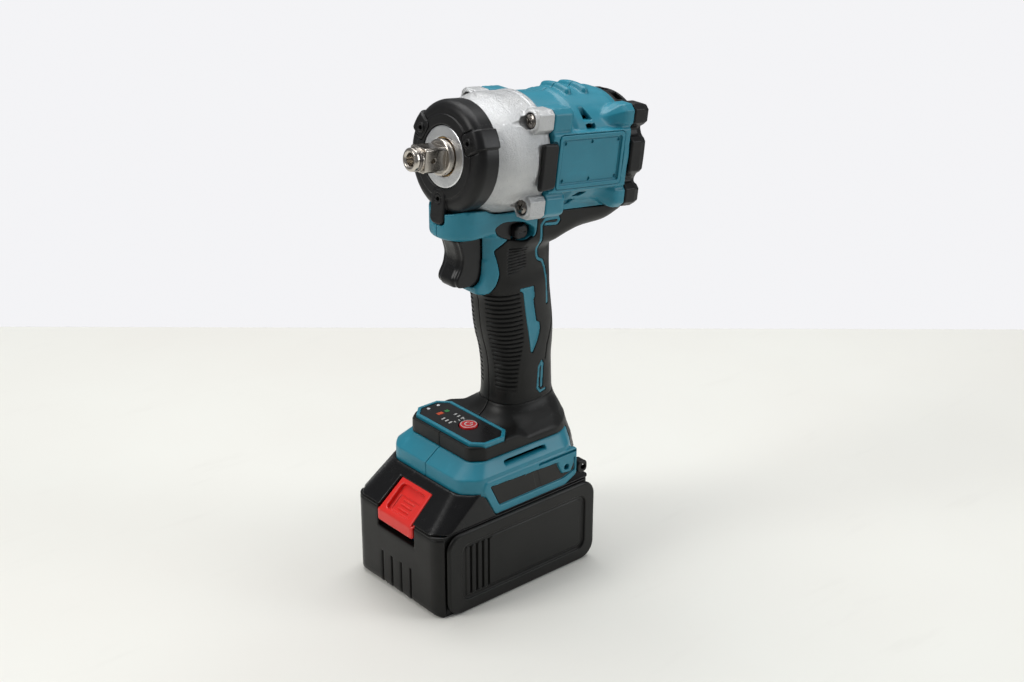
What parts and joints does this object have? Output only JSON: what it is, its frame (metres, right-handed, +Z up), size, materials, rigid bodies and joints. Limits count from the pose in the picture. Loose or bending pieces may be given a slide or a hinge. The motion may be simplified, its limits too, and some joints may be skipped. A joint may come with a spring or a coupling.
{
  "type": "cordless impact wrench",
  "caption": "Pistol-grip cordless impact wrench with a half-inch square drive, cast hammer case, moulded grip and a slide-on battery under a wide foot.",
  "frame": {"origin": "middle of the battery's underside, on the surface that the tool stands on", "axes": "+Z up, the drive points to -Y with a slight nose-up tilt, +X is the tool's left side"},
  "size_m": [0.078, 0.1529, 0.2699],
  "materials": {
    "teal_shell": "satin moulded",
    "grip_rubber": "soft matt",
    "cast_case": "sand cast",
    "bumper_rubber": "matt",
    "bronze": "sintered",
    "black_screw": "dark zinc",
    "gear_steel": "ground",
    "drive_steel": "ground, darkened",
    "motor_steel": "laminated",
    "copper": "enamelled wire",
    "black_plastic": "fine texture",
    "panel_black": "smooth label film",
    "red_button": "smooth",
    "red_latch": "smooth moulded",
    "board_green": "solder mask",
    "pack_black": "fine texture",
    "cell_wrap": "shrink wrap"
  },
  "bodies": {
    "tool": {"housing_left": "teal_shell", "housing_right": "teal_shell", "grip_left": "grip_rubber", "grip_right": "grip_rubber", "hammer_case": "cast_case", "nose_bumper": "bumper_rubber", "front_bush": "bronze", "case_screw_1": "black_screw", "case_screw_2": "black_screw", "case_screw_3": "black_screw", "case_screw_4": "black_screw", "ring_gear": "gear_steel", "gear_plate": "black_plastic", "stator_core": "motor_steel", "winding_front": "copper", "winding_rear": "copper", "bearing_front": "gear_steel", "bearing_rear": "gear_steel", "rear_cap": "black_plastic", "cap_screw_1": "black_screw", "cap_screw_2": "black_screw", "cap_screw_3": "black_screw", "cap_screw_4": "black_screw", "side_pad_left": "bumper_rubber", "side_pad_right": "bumper_rubber", "housing_screw_1": "black_screw", "housing_screw_2": "black_screw", "housing_screw_3": "black_screw", "housing_screw_4": "black_screw", "switch_body": "black_plastic", "trigger_spring": "gear_steel", "panel_frame": "teal_shell", "panel_plate": "panel_black", "control_board": "board_green", "terminal_block": "black_plastic", "strap_loop": "black_plastic"},
    "drive": {"anvil": "drive_steel", "friction_ring": "drive_steel"},
    "spindle": {"spindle_carrier": "gear_steel", "hammer_spring": "gear_steel"},
    "hammer": {"hammer": "gear_steel"},
    "planet_1": {"planet_gear_1": "gear_steel"},
    "planet_2": {"planet_gear_2": "gear_steel"},
    "planet_3": {"planet_gear_3": "gear_steel"},
    "rotor": {"rotor_shaft": "gear_steel", "rotor_core": "motor_steel", "cooling_fan": "black_plastic"},
    "trigger": {"trigger": "black_plastic"},
    "direction_lever": {"direction_lever": "black_plastic"},
    "power_button": {"power_button": "red_button"},
    "battery": {"battery_lower": "pack_black", "battery_upper": "pack_black", "battery_cover_left": "pack_black", "battery_cover_right": "pack_black", "cell_row_lower": "cell_wrap", "cell_row_upper": "cell_wrap"},
    "battery_latch": {"battery_latch": "red_latch"}
  },
  "joints": [
    {"name": "anvil_spin", "type": "hinge", "parent": "tool", "child": "drive", "pos_m": [0, -0.01983, 0.24168], "axis": [0, 0.9916, -0.129], "continuous": true},
    {"name": "carrier_spin", "type": "hinge", "parent": "tool", "child": "spindle", "pos_m": [0, 0.02975, 0.23523], "axis": [0, 0.9916, -0.129], "continuous": true},
    {"name": "hammer_slide", "type": "slide", "parent": "spindle", "child": "hammer", "axis": [0, 0.9916, -0.129], "range_m": [0, 0.006], "stiffness_N_per_m": 3000, "springref_m": -0.001, "deforming": ["hammer_spring"]},
    {"name": "rotor_spin", "type": "hinge", "parent": "tool", "child": "rotor", "pos_m": [0, 0.06148, 0.2311], "axis": [0, 0.9916, -0.129], "continuous": true},
    {"name": "planet_1_spin", "type": "hinge", "parent": "spindle", "child": "planet_1", "pos_m": [0, 0.03784, 0.24704], "axis": [0, 0.9916, -0.129], "continuous": true},
    {"name": "planet_2_spin", "type": "hinge", "parent": "spindle", "child": "planet_2", "pos_m": [-0.01104, 0.03537, 0.22807], "axis": [0, 0.9916, -0.129], "continuous": true},
    {"name": "planet_3_spin", "type": "hinge", "parent": "spindle", "child": "planet_3", "pos_m": [0.01104, 0.03537, 0.22807], "axis": [0, 0.9916, -0.129], "continuous": true},
    {"name": "trigger_pull", "type": "slide", "parent": "tool", "child": "trigger", "axis": [0, 1, 0], "range_m": [0, 0.006], "stiffness_N_per_m": 900, "springref_m": -0.0015, "deforming": ["trigger_spring"]},
    {"name": "direction_slide", "type": "slide", "parent": "tool", "child": "direction_lever", "axis": [1, 0, 0], "range_m": [-0.0025, 0.0025]},
    {"name": "power_press", "type": "slide", "parent": "tool", "child": "power_button", "axis": [0, 0, -1], "range_m": [0, 0.0008], "stiffness_N_per_m": 800, "springref_m": -0.0004},
    {"name": "battery_slide", "type": "slide", "parent": "tool", "child": "battery", "axis": [0, -1, 0], "range_m": [0, 0.078]},
    {"name": "latch_press", "type": "slide", "parent": "battery", "child": "battery_latch", "axis": [0, 0, -1], "range_m": [0, 0.0036], "stiffness_N_per_m": 500, "springref_m": -0.001}
  ],
  "couplings": [
    {"joint": "anvil_spin", "follows": "carrier_spin", "ratio": 1},
    {"joint": "rotor_spin", "follows": "carrier_spin", "ratio": 5.4545},
    {"joint": "planet_1_spin", "follows": "carrier_spin", "ratio": -2.5789},
    {"joint": "planet_2_spin", "follows": "carrier_spin", "ratio": -2.5789},
    {"joint": "planet_3_spin", "follows": "carrier_spin", "ratio": -2.5789}
  ]
}
